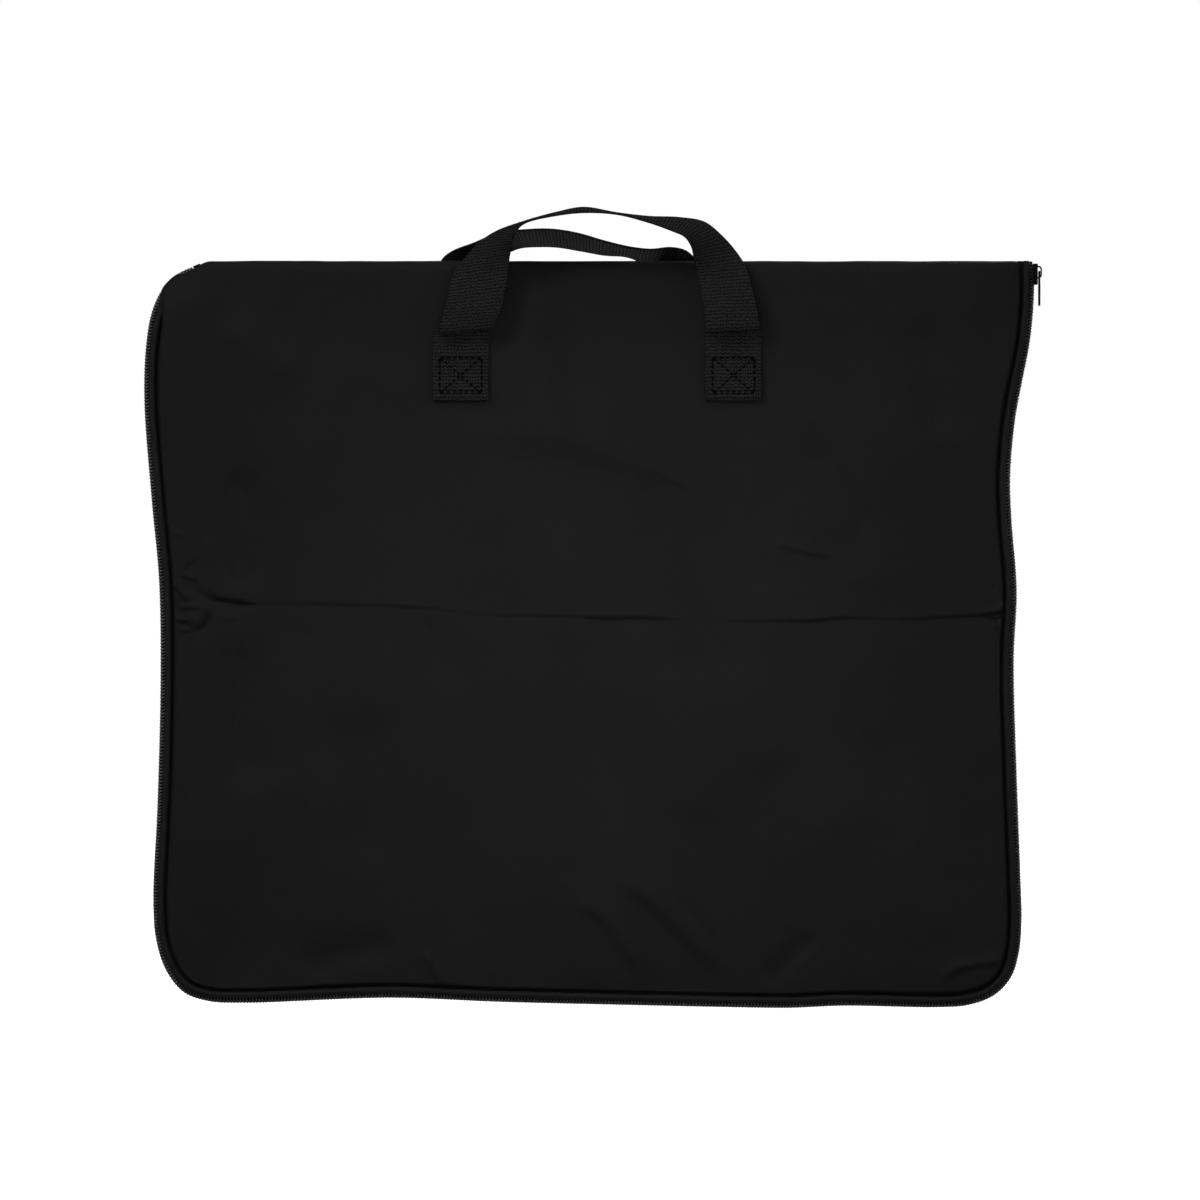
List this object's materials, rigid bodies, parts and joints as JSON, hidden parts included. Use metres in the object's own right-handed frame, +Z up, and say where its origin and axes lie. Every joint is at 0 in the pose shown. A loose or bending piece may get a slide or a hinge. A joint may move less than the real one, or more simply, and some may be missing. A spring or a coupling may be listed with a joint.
{
  "type": "portfolio case",
  "caption": "Soft padded cloth portfolio case, zipped round three sides and folded along the top edge, with webbing carrying handles on the front and back.",
  "frame": {"origin": "middle of the base, where the zipped lower edge stands on a surface", "axes": "+X to the viewer's right along the fold, -Y out of the front panel, +Z up towards the fold and the handles"},
  "size_m": [0.6106, 0.1032, 0.5414],
  "materials": {
    "outer_cloth": "black plain-weave nylon",
    "lining": "thin black taffeta",
    "foam": "closed-cell foam sheet",
    "binding": "smooth black binding",
    "zip_tape": "woven zip tape",
    "zip_coil": "satin nylon coil",
    "webbing": "ribbed polypropylene webbing",
    "thread": "bonded nylon thread",
    "slider_metal": "black painted zinc"
  },
  "bodies": {
    "back_panel": {"back_outer_cloth": "outer_cloth", "back_foam_pad": "foam", "back_lining": "lining", "back_edge_binding": "binding", "back_zip_tape": "zip_tape", "back_zip_coil": "zip_coil", "back_zip_stop": "slider_metal", "back_handle_end_left": "webbing", "back_handle_end_right": "webbing", "back_stitching_left": "thread", "back_stitching_right": "thread", "spine_cloth": "outer_cloth"},
    "front_panel": {"front_outer_cloth": "outer_cloth", "front_foam_pad": "foam", "front_lining": "lining", "front_edge_binding": "binding", "front_zip_tape": "zip_tape", "front_zip_coil": "zip_coil", "front_zip_stop": "slider_metal", "front_handle_end_left": "webbing", "front_handle_end_right": "webbing", "front_stitching_left": "thread", "front_stitching_right": "thread"},
    "front_handle": {"front_handle_loop": "webbing"},
    "back_handle": {"back_handle_loop": "webbing"},
    "zip_slider": {"zip_slider": "slider_metal"},
    "zip_pull": {"zip_pull": "slider_metal"}
  },
  "joints": [
    {"name": "case_open", "type": "hinge", "parent": "back_panel", "child": "front_panel", "pos_m": [0, 0, 0.508], "axis": [-1, 0, 0], "range_deg": [0, 180]},
    {"name": "front_handle_fold", "type": "hinge", "parent": "front_panel", "child": "front_handle", "pos_m": [0, -0.0126, 0.456], "axis": [1, 0, 0], "range_deg": [0, 130]},
    {"name": "back_handle_fold", "type": "hinge", "parent": "back_panel", "child": "back_handle", "pos_m": [0, 0.0126, 0.456], "axis": [-1, 0, 0], "range_deg": [0, 130]},
    {"name": "slider_travel", "type": "slide", "parent": "back_panel", "child": "zip_slider", "axis": [-0.0222, 0, -0.9998], "range_m": [0, 0.395]},
    {"name": "pull_swing", "type": "hinge", "parent": "zip_slider", "child": "zip_pull", "pos_m": [0.3047, 0, 0.5005], "axis": [0, -1, 0], "range_deg": [0, 170]}
  ],
  "couplings": [
    {"joint": "front_handle_fold", "follows": "case_open", "ratio": 0.72}
  ]
}
